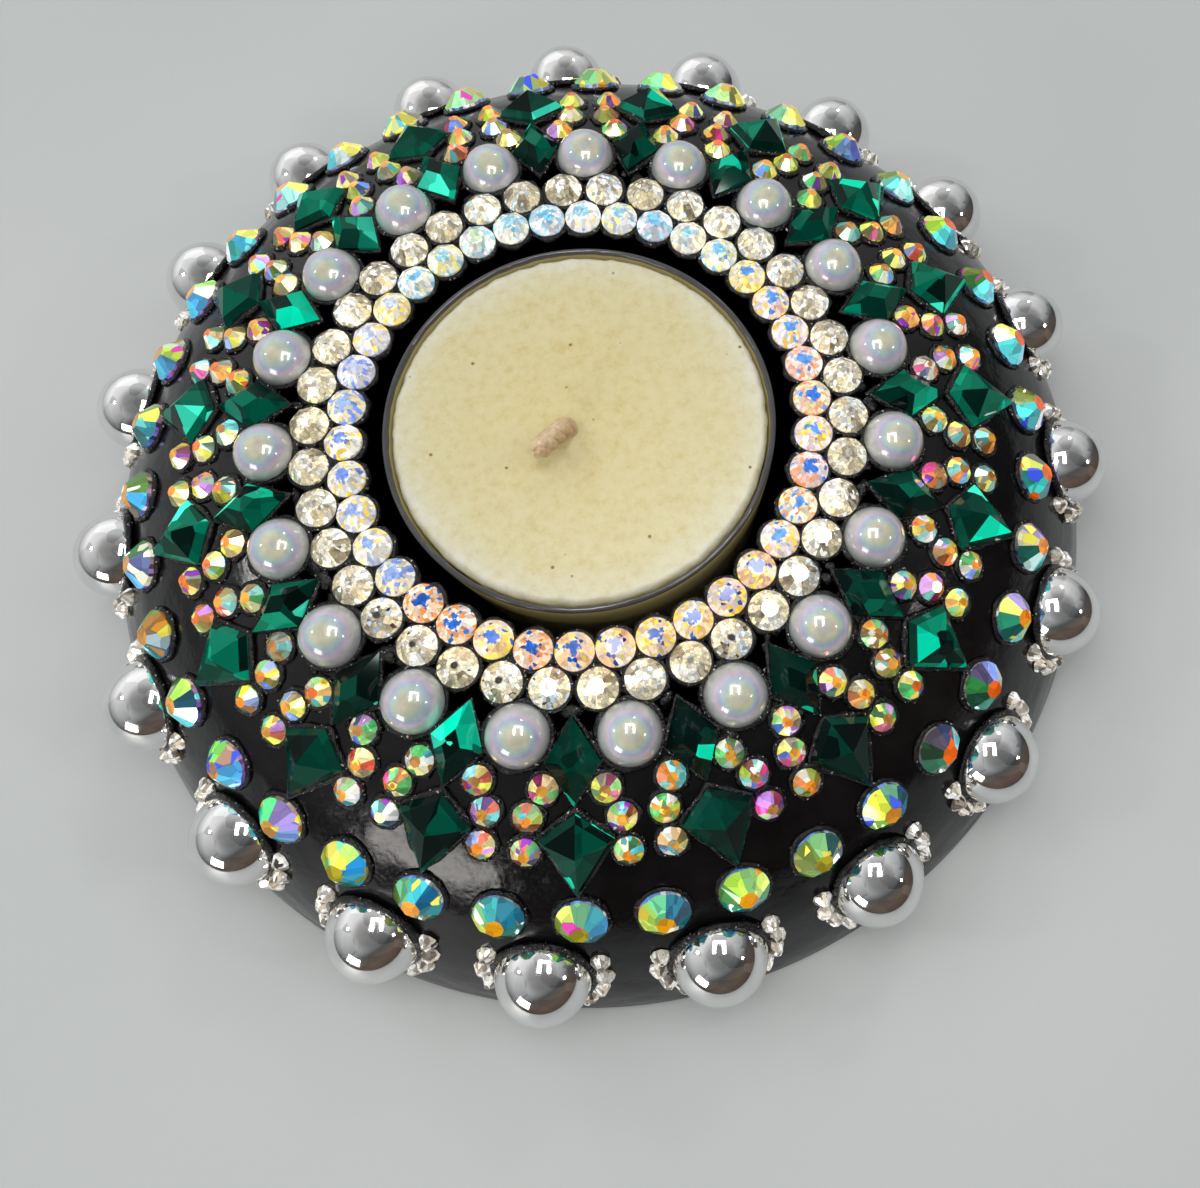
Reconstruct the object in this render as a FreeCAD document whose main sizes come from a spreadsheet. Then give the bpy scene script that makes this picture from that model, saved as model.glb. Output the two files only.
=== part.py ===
# Candle ring: a round domed holder set with stones, and the tealight that stands in its recess.
# The frame has its origin at the middle of the flat underside, with +Z up. Lengths are in millimetres.
import FreeCAD, Part
import Sketcher
import math
import os

UP = FreeCAD.Vector(0, 0, 1)
ACROSS = FreeCAD.Vector(0, 1, 0)
ORIGIN = FreeCAD.Vector(0, 0, 0)
FULL_TURN = 360.0

# Driving sizes of the holder
HOLDER_SIZES = {
    "floor_thickness": 5.9,     # flat underside to recess floor
    "foot_bevel": 0.8,          # height of the bevel at the foot
    "foot_inset": 0.9,          # how far the bevel draws in
    "foot_margin": 4.2,         # from the bead ring out to the foot
    "land_margin": 0.25,        # flat land left outside the opal ring
    "recess_gap": 1.05,         # round the rim of the cup
    "recess_edge_round": 0.6,
    "recess_corner_round": 1.5,
}

# Driving sizes of the tealight
CANDLE_SIZES = {
    "cup_rim_radius": 19.25,
    "cup_taper": 0.95,          # rim radius less base radius
    "cup_height": 17.5,
    "cup_wall": 0.6,
    "cup_floor": 0.7,
    "rim_proud": 0.5,           # rim above the flat land
    "seat_gap": 0.1,            # cup base above the recess floor
    "wax_side_gap": 0.15,
    "wax_drop": 0.4,            # wax surface below the rim
    "wax_edge_bevel": 0.5,
    "wick_radius": 0.95,
    "wick_x": -1.3,             # the wick stands a little off the middle
    "wick_y": -0.4,
    "wick_stub": 4.9,           # length of the leaning end above the wax
    "wick_lean": 65.0,          # degrees from upright
    "wick_bearing": -133.0,     # degrees from +X
    "tab_radius": 6.3,
    "tab_thickness": 0.3,
    "collar_radius": 1.7,
    "collar_height": 3.2,
    "candle_fit": 0.05,         # between wick, tab, wax and cup floor
}

# Driving sizes of the stones, pearls and beads, and of the gaps between their rings
STONE_SIZES = {
    "glue_gap": 0.05,
    "opal_margin": 0.15,        # from the recess's rounded edge to the opal stones
    "opal_radius": 1.85,
    "opal_gap": 0.06,           # between neighbours in the ring, at least
    "opal_girdle": 0.4,
    "opal_height": 1.55,
    "clear_radius": 1.9,
    "clear_gap": 0.2,           # opal stone to clear stone
    "clear_girdle": 0.4,
    "clear_height": 1.6,
    "pearl_radius": 3.0,
    "pearl_gap": 0.1,           # clear stone to pearl
    "lozenge_tip_gap": 2.2,     # clear ring to the lozenge's inner tip
    "lozenge_length": 8.0,
    "lozenge_width": 5.0,
    "lozenge_girdle": 0.5,
    "lozenge_height": 1.9,
    "kite_gap": 0.2,            # lozenge tip to kite
    "kite_length": 8.1,
    "kite_width": 6.9,
    "kite_girdle": 0.5,
    "kite_height": 2.5,
    "accent_radius": 1.375,
    "accent_height": 1.2,
    "accent_step_a": -1.7,      # outwards from the kite's inner corner
    "accent_step_b": 0.8,
    "accent_step_c": 3.7,
    "accent_side_a": 2.8,       # sideways from the lozenge and kite line
    "accent_side_b": 4.25,
    "accent_side_c": 4.65,
    "aurora_step": 9.6,         # kite's inner corner to the aurora ring
    "aurora_radius": 2.45,
    "aurora_girdle": 0.45,
    "aurora_height": 1.9,
    "bead_step": 5.3,           # aurora ring to bead ring
    "bead_radius": 4.75,
    "crystal_radius": 1.0,
    "crystal_height": 0.95,
    "garland_gap": 0.15,        # bead edge to crystal edge
}

SECTORS = 19                    # how many times the pattern of stones repeats

# What follows from the driving sizes: the holder's main sizes and each ring's distance from the axis
RING_FORMULAS = {
    "height": "sizes.floor_thickness + sizes.seat_gap + sizes.cup_height - sizes.rim_proud",
    "recess": "sizes.cup_rim_radius + sizes.recess_gap",
    "sectors": str(SECTORS),
    "opal": "max(rings.recess + sizes.recess_edge_round + sizes.opal_margin + sizes.opal_radius;"
            " (sizes.opal_radius + sizes.opal_gap / 2) / sin(90 deg / rings.sectors))",
    "land": "rings.opal + sizes.opal_radius + sizes.land_margin",
    "clear": "rings.opal * cos(90 deg / rings.sectors)"
             " + sqrt((sizes.opal_radius + sizes.clear_radius + sizes.clear_gap) ^ 2"
             " - (rings.opal * sin(90 deg / rings.sectors)) ^ 2)",
    "pearl": "rings.clear * cos(90 deg / rings.sectors)"
             " + sqrt((sizes.clear_radius + sizes.pearl_radius + sizes.pearl_gap) ^ 2"
             " - (rings.clear * sin(90 deg / rings.sectors)) ^ 2)",
    "lozenge": "rings.clear + sizes.lozenge_tip_gap + sizes.lozenge_length / 2",
    "kite": "rings.lozenge + sizes.lozenge_length / 2 + sizes.kite_gap",
    "aurora": "rings.kite + sizes.aurora_step",
    "bead": "rings.aurora + sizes.bead_step",
    "foot": "rings.bead + sizes.foot_margin",
    "dome": "(rings.height ^ 2 + (rings.foot - rings.land) ^ 2) / (2 * rings.height)",
}

# Turns, counts and shares that are not lengths
FIRST_PEARL = 53.7              # bearing of the first pearl, degrees from +X
HALF_STEP_SHARE = 0.5           # lozenges and kites stand midway between pearls
BEAD_OFFSET_SHARE = -0.25       # of the step from pearl to pearl, against the count
STONE_SIDES = 10
ACCENT_SIDES = 8
CRYSTAL_SIDES = 6
GARLAND_COUNT = 11
GARLAND_RISE = 22.0             # degrees that each end of a garland climbs above the bead's middle
TABLE_SHARE = 0.48
ACCENT_TABLE_SHARE = 0.45
CRYSTAL_TABLE_SHARE = 0.5
LOZENGE_TABLE_SHARE = 0.5
KITE_SHOULDER_SHARE = 0.3       # of its length, where the kite is widest
KITE_PEAK_SHARE = 0.42          # of its length, where its facets meet

doc = FreeCAD.newDocument("candle_ring")
sheet = doc.addObject("Spreadsheet::Sheet", "sizes")
rings = doc.addObject("App::VarSet", "rings")
nodes = []


def fill_sheet():
    """One row for each driving size, its value beside its name."""
    row = 1
    for group in (HOLDER_SIZES, CANDLE_SIZES, STONE_SIZES):
        for alias, value in group.items():
            sheet.set("A%d" % row, alias)
            sheet.set("B%d" % row, str(value))
            sheet.setAlias("B%d" % row, alias)
            row += 1
    doc.recompute()


def work_out_rings():
    for name in RING_FORMULAS:
        rings.addProperty("App::PropertyFloat", name)
    for name, formula in RING_FORMULAS.items():
        rings.setExpression(name, formula)
    doc.recompute()


def size(alias):
    return float(getattr(sheet, alias))


def ring(name):
    return float(getattr(rings, name))


def bind(item, **formulas):
    """Ties properties of an object to formulas of the sheet's sizes."""
    for name, formula in formulas.items():
        item.setExpression(name.replace("__", "."), formula)


def keep(item, node):
    item.Label = node
    nodes.append(item)
    return item


# The dome: a flat land, then one arc down to the foot

def dome(radius):
    """Height and slope, in radians, of the dome's surface at a distance from the axis."""
    run = min(max(radius - ring("land"), 0.0), ring("dome"))
    slope = math.asin(run / ring("dome"))
    return ring("height") - ring("dome") * (1 - math.cos(slope)), slope


def seat(radius, bearing):
    """Placement on the dome: local Z stands off the surface, local X runs downhill."""
    height, slope = dome(radius)
    lift = size("glue_gap")
    out = radius + lift * math.sin(slope)
    spot = FreeCAD.Vector(
        out * math.cos(math.radians(bearing)),
        out * math.sin(math.radians(bearing)),
        height + lift * math.cos(slope),
    )
    turn = FreeCAD.Rotation(UP, bearing).multiply(FreeCAD.Rotation(ACROSS, math.degrees(slope)))
    return FreeCAD.Placement(spot, turn)


def bearings(count, offset):
    """Evenly spaced bearings in degrees, clockwise from the first pearl's, moved by a share of a step."""
    step = FULL_TURN / count
    return [FIRST_PEARL - step * (index + offset) for index in range(count)]


# Holder

def holder_body():
    """The turned body: dome outside, recess for the tealight inside."""
    body = doc.addObject("PartDesign::Body", "holder_body")
    profile = body.newObject("Sketcher::SketchObject", "holder_profile")
    plane = [entry for entry in body.Origin.OriginFeatures if entry.Role == "XZ_Plane"][0]
    profile.AttachmentSupport = [(plane, "")]
    profile.MapMode = "FlatFace"

    height = ring("height")
    recess = ring("recess")
    edge = size("recess_edge_round")
    corner = size("recess_corner_round")
    floor = size("floor_thickness")
    bevel = size("foot_bevel")
    middle_x = ring("land")
    middle_y = height - ring("dome")
    low_x = middle_x + math.sqrt(ring("dome") ** 2 - (bevel - middle_y) ** 2)
    low_angle = math.atan2(bevel - middle_y, low_x - middle_x)
    foot = low_x - size("foot_inset")

    def point(x, y):
        return FreeCAD.Vector(x, y, 0)

    def line(x1, y1, x2, y2):
        return profile.addGeometry(Part.LineSegment(point(x1, y1), point(x2, y2)), False)

    def arc(x, y, radius, start, end):
        circle = Part.Circle(point(x, y), UP, radius)
        return profile.addGeometry(Part.ArcOfCircle(circle, start, end), False)

    quarter = math.pi / 2
    half = math.pi
    base = line(0, 0, foot, 0)
    bevel_line = line(foot, 0, low_x, bevel)
    side = arc(middle_x, middle_y, ring("dome"), low_angle, quarter)
    land = line(middle_x, height, recess + edge, height)
    rim = arc(recess + edge, height - edge, edge, quarter, half)
    wall = line(recess, height - edge, recess, floor + corner)
    inner = arc(recess - corner, floor + corner, corner, -quarter, 0)
    bottom = line(recess - corner, floor, 0, floor)
    axis = line(0, floor, 0, 0)

    start, end, centre = 1, 2, 3
    # Each pair of ends that meet, in order round the outline
    meets = [
        (base, end, bevel_line, start),
        (bevel_line, end, side, start),
        (land, end, rim, start),
        (bottom, end, axis, start),
        (axis, end, base, start),
    ]
    smooth = [
        (side, end, land, start),
        (rim, end, wall, start),
        (wall, end, inner, end),
        (inner, start, bottom, start),
    ]
    for first, first_end, second, second_end in meets:
        profile.addConstraint(Sketcher.Constraint("Coincident", first, first_end, second, second_end))
    for first, first_end, second, second_end in smooth:
        profile.addConstraint(Sketcher.Constraint("Tangent", first, first_end, second, second_end))
    profile.addConstraint(Sketcher.Constraint("Coincident", base, start, -1, 1))
    profile.addConstraint(Sketcher.Constraint("Horizontal", base))
    profile.addConstraint(Sketcher.Constraint("Horizontal", land))
    profile.addConstraint(Sketcher.Constraint("Vertical", wall))
    profile.addConstraint(Sketcher.Constraint("Vertical", axis))
    profile.addConstraint(Sketcher.Constraint("Horizontal", bottom))
    profile.addConstraint(Sketcher.Constraint("Vertical", rim, centre, rim, start))

    def measure(kind, *terms, name, formula):
        index = profile.addConstraint(Sketcher.Constraint(kind, *terms))
        profile.renameConstraint(index, name)
        profile.setExpression("Constraints." + name, formula)

    measure("Radius", side, ring("dome"), name="dome_arc", formula="rings.dome")
    measure("Radius", rim, edge, name="edge_arc", formula="sizes.recess_edge_round")
    measure("Radius", inner, corner, name="corner_arc", formula="sizes.recess_corner_round")
    measure("DistanceX", -1, 1, side, centre, middle_x, name="land_end", formula="rings.land")
    measure("DistanceY", -1, 1, land, start, height, name="top_level", formula="rings.height")
    measure("DistanceX", -1, 1, wall, start, recess, name="recess_wall", formula="rings.recess")
    measure("DistanceY", -1, 1, bottom, start, floor, name="recess_floor",
            formula="sizes.floor_thickness")
    measure("DistanceY", -1, 1, side, start, bevel, name="bevel_rise", formula="sizes.foot_bevel")
    measure("DistanceX", bevel_line, start, bevel_line, end, low_x - foot, name="bevel_run",
            formula="sizes.foot_inset")

    turned = body.newObject("PartDesign::Revolution", "holder_turned")
    turned.Profile = profile
    turned.ReferenceAxis = (profile, ["V_Axis"])
    turned.Angle = FULL_TURN
    body.Tip = turned
    return keep(body, "holder_body")


# Tealight, from the recess floor up

CUP_BASE = "sizes.floor_thickness + sizes.seat_gap"
TAB_BASE = CUP_BASE + " + sizes.cup_floor + sizes.candle_fit"
CUP_SLOPE = "sizes.cup_taper / sizes.cup_height"
WICK_PLACE = {"Placement__Base__x": "sizes.wick_x", "Placement__Base__y": "sizes.wick_y"}


def cone(name, **formulas):
    item = doc.addObject("Part::Cone", name)
    bind(item, **formulas)
    return item


def cylinder(name, **formulas):
    item = doc.addObject("Part::Cylinder", name)
    bind(item, **formulas)
    return item


def cut(name, base, tool):
    item = doc.addObject("Part::Cut", name)
    item.Base = base
    item.Tool = tool
    return item


def candle_cup():
    """Thin clear cup, wider at its rim than at its base."""
    outside = cone(
        "cup_outside",
        Radius1="sizes.cup_rim_radius - sizes.cup_taper",
        Radius2="sizes.cup_rim_radius",
        Height="sizes.cup_height",
        Placement__Base__z=CUP_BASE,
    )
    inside = cone(
        "cup_inside",
        Radius1="sizes.cup_rim_radius - sizes.cup_taper - sizes.cup_wall + sizes.cup_floor * " + CUP_SLOPE,
        Radius2="sizes.cup_rim_radius - sizes.cup_wall + sizes.cup_floor * " + CUP_SLOPE,
        Height="sizes.cup_height",
        Placement__Base__z=CUP_BASE + " + sizes.cup_floor",
    )
    return keep(cut("cup_shell", outside, inside), "candle_cup")


def candle_wax():
    """Pressed wax block with a bevelled top edge, open underneath for the wick's foot."""
    depth = "(sizes.cup_height - sizes.cup_floor - sizes.wax_drop - sizes.candle_fit)"
    side = "sizes.cup_rim_radius - sizes.cup_taper - sizes.cup_wall - sizes.wax_side_gap"
    low = side + " + sizes.cup_floor * " + CUP_SLOPE
    high = low + " + (%s - sizes.wax_edge_bevel) * %s" % (depth, CUP_SLOPE)
    block = cone(
        "wax_block",
        Radius1=low,
        Radius2=high,
        Height=depth + " - sizes.wax_edge_bevel",
        Placement__Base__z=TAB_BASE,
    )
    crest = cone(
        "wax_crest",
        Radius1=high,
        Radius2=high + " - sizes.wax_edge_bevel",
        Height="sizes.wax_edge_bevel",
        Placement__Base__z=TAB_BASE + " + %s - sizes.wax_edge_bevel" % depth,
    )
    whole = doc.addObject("Part::Fuse", "wax_whole")
    whole.Base = block
    whole.Tool = crest
    bore = cylinder(
        "wax_wick_bore",
        **WICK_PLACE,
        Radius="sizes.wick_radius + sizes.candle_fit",
        Height="sizes.cup_height",
        Placement__Base__z=TAB_BASE,
    )
    collar_room = cylinder(
        "wax_collar_room",
        **WICK_PLACE,
        Radius="sizes.collar_radius + sizes.candle_fit",
        Height="sizes.collar_height + sizes.candle_fit",
        Placement__Base__z=TAB_BASE,
    )
    tab_room = cylinder(
        "wax_tab_room",
        **WICK_PLACE,
        Radius="sizes.tab_radius + sizes.candle_fit",
        Height="sizes.tab_thickness + sizes.candle_fit",
        Placement__Base__z=TAB_BASE,
    )
    room = doc.addObject("Part::MultiFuse", "wax_room")
    room.Shapes = [bore, collar_room, tab_room]
    return keep(cut("wax_cut", whole, room), "candle_wax")


def wick_sustainer():
    """Thin metal tab with the collar that holds the wick upright."""
    tab = cylinder(
        "sustainer_tab",
        **WICK_PLACE,
        Radius="sizes.tab_radius",
        Height="sizes.tab_thickness",
        Placement__Base__z=TAB_BASE,
    )
    collar = cylinder(
        "sustainer_collar",
        **WICK_PLACE,
        Radius="sizes.collar_radius",
        Height="sizes.collar_height",
        Placement__Base__z=TAB_BASE,
    )
    whole = doc.addObject("Part::Fuse", "sustainer_whole")
    whole.Base = tab
    whole.Tool = collar
    hole = cylinder(
        "sustainer_hole",
        **WICK_PLACE,
        Radius="sizes.wick_radius + sizes.candle_fit",
        Height="sizes.collar_height",
        Placement__Base__z=TAB_BASE + " + sizes.tab_thickness",
    )
    return keep(cut("sustainer_cut", whole, hole), "wick_sustainer")


def candle_wick():
    """Braided wick: upright through the wax, then a short end that leans over."""
    foot = TAB_BASE + " + sizes.tab_thickness + sizes.candle_fit"
    # The bend stands high enough for the leaning end to clear the wax
    bend = "rings.height + sizes.rim_proud - sizes.wax_drop + sizes.wick_radius + sizes.candle_fit"
    stem = cylinder(
        "wick_stem",
        **WICK_PLACE,
        Radius="sizes.wick_radius",
        Height="%s - (%s)" % (bend, foot),
        Placement__Base__z=foot,
    )
    knee = doc.addObject("Part::Sphere", "wick_knee")
    bind(knee, **WICK_PLACE, Radius="sizes.wick_radius", Placement__Base__z=bend)
    end = cylinder("wick_end", Radius="sizes.wick_radius", Height="sizes.wick_stub")
    turn = FreeCAD.Rotation(UP, size("wick_bearing"))
    lean = FreeCAD.Rotation(ACROSS, size("wick_lean"))
    end.Placement = FreeCAD.Placement(ORIGIN, turn.multiply(lean))
    bind(end, **WICK_PLACE, Placement__Base__z=bend)
    whole = doc.addObject("Part::MultiFuse", "wick_whole")
    whole.Shapes = [stem, knee, end]
    return keep(whole, "candle_wick")


# Pearls and beads: half-spheres, each with its flat back on the dome

def half_round(node, radius_name, placement):
    item = doc.addObject("Part::Sphere", node)
    bind(item, Radius="sizes." + radius_name)
    item.Angle1 = 0
    item.Placement = placement
    return keep(item, node)


def pearls():
    for index, bearing in enumerate(bearings(SECTORS, 0), 1):
        half_round("pearl_%02d" % index, "pearl_radius", seat(ring("pearl"), bearing))


def silver_beads():
    for index, bearing in enumerate(bearings(SECTORS, BEAD_OFFSET_SHARE), 1):
        half_round("silver_bead_%02d" % index, "bead_radius", seat(ring("bead"), bearing))


# Faceted stones: each is a stack of outlines, flat back first

def polygon(sides, radius, height, turn=0.0):
    points = []
    for index in range(sides):
        angle = turn + 2 * math.pi * index / sides
        points.append(FreeCAD.Vector(radius * math.cos(angle), radius * math.sin(angle), height))
    return points


def raised(points, share, height):
    """The same outline drawn in towards its middle, at another height."""
    return [FreeCAD.Vector(point.x * share, point.y * share, height) for point in points]


def faceted(outlines, peak=None):
    """Closed solid between outlines with as many corners each, ending in a table or a peak."""
    faces = [Part.Face(Part.makePolygon(outlines[0] + outlines[0][:1]))]
    for low, high in zip(outlines, outlines[1:]):
        for index in range(len(low)):
            after = (index + 1) % len(low)
            corners = [low[index], low[after], high[after], high[index], low[index]]
            faces.append(Part.Face(Part.makePolygon(corners)))
    top = outlines[-1]
    if peak is None:
        faces.append(Part.Face(Part.makePolygon(top + top[:1])))
    else:
        for index in range(len(top)):
            after = (index + 1) % len(top)
            faces.append(Part.Face(Part.makePolygon([top[index], top[after], peak, top[index]])))
    solid = Part.Solid(Part.Shell(faces))
    if solid.Volume < 0:
        solid.reverse()
    return solid


def round_stone(sides, radius, girdle, height, table):
    back = polygon(sides, radius, 0, math.pi / sides)
    outlines = [back]
    if girdle:
        outlines.append(raised(back, 1, girdle))
    outlines.append(raised(back, table, height))
    return faceted(outlines)


def group(node, stone, placements):
    """Separate copies of one stone, kept together in one node."""
    copies = []
    for placement in placements:
        copy = stone.copy()
        copy.Placement = placement
        copies.append(copy)
    item = doc.addObject("Part::Feature", node)
    item.Shape = Part.makeCompound(copies)
    item.Placement = FreeCAD.Placement(ORIGIN, FreeCAD.Rotation())
    return keep(item, node)


def opal_stones():
    stone = round_stone(
        STONE_SIDES, size("opal_radius"), size("opal_girdle"), size("opal_height"), TABLE_SHARE)
    places = [seat(ring("opal"), bearing) for bearing in bearings(2 * SECTORS, 0)]
    group("opal_stones", stone, places)


def clear_stones():
    stone = round_stone(
        STONE_SIDES, size("clear_radius"), size("clear_girdle"), size("clear_height"), TABLE_SHARE)
    places = [seat(ring("clear"), bearing) for bearing in bearings(2 * SECTORS, HALF_STEP_SHARE)]
    group("clear_stones", stone, places)


def aurora_stones():
    stone = round_stone(
        STONE_SIDES, size("aurora_radius"), size("aurora_girdle"), size("aurora_height"), TABLE_SHARE)
    places = [seat(ring("aurora"), bearing) for bearing in bearings(2 * SECTORS, 0)]
    group("aurora_stones", stone, places)


def accent_stones():
    """Small stones, three at each side of every lozenge and kite."""
    stone = round_stone(
        ACCENT_SIDES, size("accent_radius"), 0, size("accent_height"), ACCENT_TABLE_SHARE)
    places = []
    for bearing in bearings(SECTORS, HALF_STEP_SHARE):
        for letter in "abc":
            radius = ring("kite") + size("accent_step_" + letter)
            swing = math.degrees(math.asin(size("accent_side_" + letter) / radius))
            places.append(seat(radius, bearing - swing))
            places.append(seat(radius, bearing + swing))
    group("accent_stones", stone, places)


def lozenge_stones():
    long = size("lozenge_length") / 2
    wide = size("lozenge_width") / 2
    corners = ((long, 0), (0, wide), (-long, 0), (0, -wide))
    back = [FreeCAD.Vector(x, y, 0) for x, y in corners]
    stone = faceted([
        back,
        raised(back, 1, size("lozenge_girdle")),
        raised(back, LOZENGE_TABLE_SHARE, size("lozenge_height")),
    ])
    places = [seat(ring("lozenge"), bearing) for bearing in bearings(SECTORS, HALF_STEP_SHARE)]
    group("emerald_lozenges", stone, places)


def kite_stones():
    """Kites with their long point downhill and four facets that meet in a peak."""
    length = size("kite_length")
    wide = size("kite_width") / 2
    inner = -KITE_PEAK_SHARE * length
    corners = (
        (inner + length, 0),
        (inner + KITE_SHOULDER_SHARE * length, wide),
        (inner, 0),
        (inner + KITE_SHOULDER_SHARE * length, -wide),
    )
    back = [FreeCAD.Vector(x, y, 0) for x, y in corners]
    peak = FreeCAD.Vector(0, 0, size("kite_height"))
    stone = faceted([back, raised(back, 1, size("kite_girdle"))], peak)
    _, slope = dome(ring("kite"))
    radius = ring("kite") - inner * math.cos(slope)
    places = [seat(radius, bearing) for bearing in bearings(SECTORS, HALF_STEP_SHARE)]
    group("emerald_kites", stone, places)


def crystal_garlands():
    """A row of tiny crystals round the lower part of every silver bead."""
    stone = round_stone(
        CRYSTAL_SIDES, size("crystal_radius"), 0, size("crystal_height"), CRYSTAL_TABLE_SHARE)
    reach = size("bead_radius") + size("garland_gap") + size("crystal_radius")
    _, bead_slope = dome(ring("bead"))
    sweep = 180.0 + 2 * GARLAND_RISE
    places = []
    for bearing in bearings(SECTORS, BEAD_OFFSET_SHARE):
        for index in range(GARLAND_COUNT):
            angle = math.radians(sweep * index / (GARLAND_COUNT - 1) - GARLAND_RISE)
            aside = reach * math.cos(angle)
            down = reach * math.sin(angle)
            radius = ring("land") + ring("dome") * math.sin(bead_slope + down / ring("dome"))
            places.append(seat(radius, bearing + math.degrees(aside / radius)))
    group("crystal_garlands", stone, places)


def check_and_write():
    """Stops at the first object that failed, then writes each node to its own file."""
    doc.recompute()
    for item in doc.Objects:
        if "Invalid" in item.State or "Error" in item.State:
            raise RuntimeError("%s failed: %s" % (item.Name, item.State))
    os.makedirs("parts", exist_ok=True)
    for item in nodes:
        shape = item.Shape
        if shape.isNull() or not shape.isValid() or not shape.Solids:
            raise RuntimeError("%s has no valid solid" % item.Label)
        shape.exportStep(os.path.join("parts", item.Label + ".step"))
    print("nodes %d, solids %d" % (len(nodes), sum(len(item.Shape.Solids) for item in nodes)))
    print("rings", {name: round(ring(name), 2) for name in RING_FORMULAS})


fill_sheet()
work_out_rings()
holder_body()
candle_cup()
candle_wax()
candle_wick()
wick_sustainer()
opal_stones()
clear_stones()
pearls()
lozenge_stones()
kite_stones()
accent_stones()
aurora_stones()
silver_beads()
crystal_garlands()
check_and_write()
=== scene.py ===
import math
import random

import bmesh
import bpy
from mathutils import Matrix, Vector, noise


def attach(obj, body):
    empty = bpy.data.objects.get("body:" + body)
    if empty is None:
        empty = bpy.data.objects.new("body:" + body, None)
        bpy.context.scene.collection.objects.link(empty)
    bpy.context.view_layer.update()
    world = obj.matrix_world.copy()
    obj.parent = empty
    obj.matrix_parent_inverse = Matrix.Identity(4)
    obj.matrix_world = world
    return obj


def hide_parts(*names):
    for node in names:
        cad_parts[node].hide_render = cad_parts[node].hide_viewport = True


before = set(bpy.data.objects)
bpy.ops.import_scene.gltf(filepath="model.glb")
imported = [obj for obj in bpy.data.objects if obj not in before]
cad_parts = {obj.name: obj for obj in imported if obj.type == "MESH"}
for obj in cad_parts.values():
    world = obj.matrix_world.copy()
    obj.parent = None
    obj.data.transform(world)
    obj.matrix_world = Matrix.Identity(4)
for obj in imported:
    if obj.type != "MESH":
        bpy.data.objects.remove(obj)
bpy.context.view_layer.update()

mm = 0.001
print("frame loaded")


def tone(red, green, blue):
    # a screen colour, 0 to 255, turned to the linear value that shaders use
    def linear(value):
        value = value / 255
        return value / 12.92 if value <= 0.04045 else ((value + 0.055) / 1.055) ** 2.4
    return (linear(red), linear(green), linear(blue), 1.0)


def colourOf(value):
    # a number is a grey and three numbers are a screen colour; anything else goes on as it is
    if isinstance(value, (int, float)):
        return (value, value, value, 1.0)
    return tone(*value) if isinstance(value, tuple) and len(value) == 3 else value


# where things stand on the dome, as in the frame: lengths in mm, angles in degrees

dome = {
    "height": 23.0, "firstPearl": 53.7, "sectors": 19, "lift": 0.05,
    "land": 25.0,    # how far the flat top reaches
    "arc": 32.11,    # radius of the curve that falls away from it
}
rings = {
    "opal": 22.9, "clear": 26.29, "pearl": 30.7, "lozenge": 32.49, "kite": 36.69,
    "aurora": 46.29, "bead": 51.59,
}
pictureTurn = 18.5    # from +X round to the camera's own sideways direction


def spun(degrees, axis):
    return Matrix.Rotation(math.radians(degrees), 4, axis)


def seat(radius, bearing, lift=dome["lift"]):
    # local Z stands off the surface and local X runs downhill
    run = min(max(radius - dome["land"], 0.0), dome["arc"])
    slope = math.asin(run / dome["arc"])
    out = radius + lift * math.sin(slope)
    height = dome["height"] - dome["arc"] * (1 - math.cos(slope)) + lift * math.cos(slope)
    spot = Matrix.Translation(Vector((out * mm, 0, height * mm)))
    return spun(bearing, "Z") @ spot @ Matrix.Rotation(slope, 4, "Y")


def bearings(count, offset):
    step = 360 / count
    return [dome["firstPearl"] - step * (index + offset) for index in range(count)]


def ringPlaces(ring, count, offset):
    return [seat(rings[ring], bearing) for bearing in bearings(count, offset)]


# hands-on helpers

def deselectAll():
    if bpy.context.object and bpy.context.object.mode != "OBJECT":
        bpy.ops.object.mode_set(mode="OBJECT")
    bpy.ops.object.select_all(action="DESELECT")


def pickUp(*objects):
    deselectAll()
    for obj in objects:
        obj.select_set(True)
    bpy.context.view_layer.objects.active = objects[0]


def openMesh(obj):
    pickUp(obj)
    bpy.ops.object.mode_set(mode="EDIT")
    bpy.ops.mesh.select_all(action="SELECT")


def closeMesh():
    bpy.ops.object.mode_set(mode="OBJECT")


def addObject(name, data):
    obj = bpy.data.objects.new(name, data)
    bpy.context.scene.collection.objects.link(obj)
    return obj


def joinUp(name, pieces):
    pickUp(*pieces)
    bpy.ops.object.join()
    joined = bpy.context.object
    joined.name = joined.data.name = name
    return joined


def smoothShade(obj, degrees=180):
    pickUp(obj)
    bpy.ops.object.shade_smooth_by_angle(angle=math.radians(degrees))


def latheProfile(name, points, steps):
    # an edge is divided and laid along the profile, then the line is spun round the axis
    deselectAll()
    bpy.ops.mesh.primitive_plane_add(size=mm, location=(0, 0, 0))
    obj = bpy.context.object
    obj.name = obj.data.name = name
    openMesh(obj)
    bpy.ops.mesh.merge(type="CENTER")
    bpy.ops.mesh.extrude_region_move(TRANSFORM_OT_translate={"value": (1, 0, 0)})
    bpy.ops.mesh.select_all(action="SELECT")
    bpy.ops.mesh.subdivide(number_cuts=len(points) - 2)
    shape = bmesh.from_edit_mesh(obj.data)
    for vertex, (x, z) in zip(sorted(shape.verts, key=lambda v: v.co.x), points):
        vertex.co = (x * mm, 0, z * mm)
    bmesh.update_edit_mesh(obj.data)
    bpy.ops.mesh.select_all(action="SELECT")
    bpy.ops.mesh.spin(steps=steps, angle=2 * math.pi, center=(0, 0, 0), axis=(0, 0, 1))
    bpy.ops.mesh.select_all(action="SELECT")
    bpy.ops.mesh.remove_doubles(threshold=0.004 * mm)
    bpy.ops.mesh.normals_make_consistent(inside=False)
    closeMesh()
    return obj


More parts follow.
